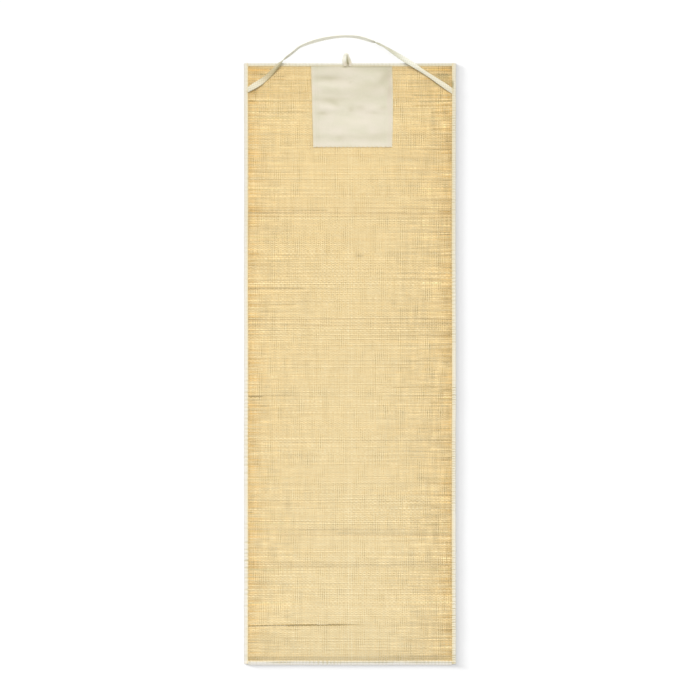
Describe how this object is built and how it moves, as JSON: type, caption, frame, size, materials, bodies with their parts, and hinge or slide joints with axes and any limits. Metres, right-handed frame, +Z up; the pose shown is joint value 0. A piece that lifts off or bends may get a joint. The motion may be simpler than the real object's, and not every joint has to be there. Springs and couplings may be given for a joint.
{
  "type": "straw beach mat",
  "caption": "Woven straw beach mat lying flat, edged with folded cotton tape, with a canvas pocket, a carrying strap and a hanging loop at its head end.",
  "frame": {"origin": "middle of the whole mat's box, strap included, on the surface it lies on", "axes": "+X across the mat to the right as seen from above, +Y along it towards the end with the strap, +Z up"},
  "size_m": [0.6, 1.779, 0.0226],
  "materials": {
    "straw": "woven straw",
    "edge_tape": "plain cotton tape",
    "pocket_cloth": "plain woven canvas",
    "webbing": "soft cotton webbing"
  },
  "bodies": {
    "root": {"straw_panel": "straw", "edge_tape_left": "edge_tape", "edge_tape_right": "edge_tape", "edge_tape_head": "edge_tape", "edge_tape_foot": "edge_tape", "pocket": "pocket_cloth", "carry_strap": "webbing", "hang_loop": "webbing"}
  },
  "joints": []
}
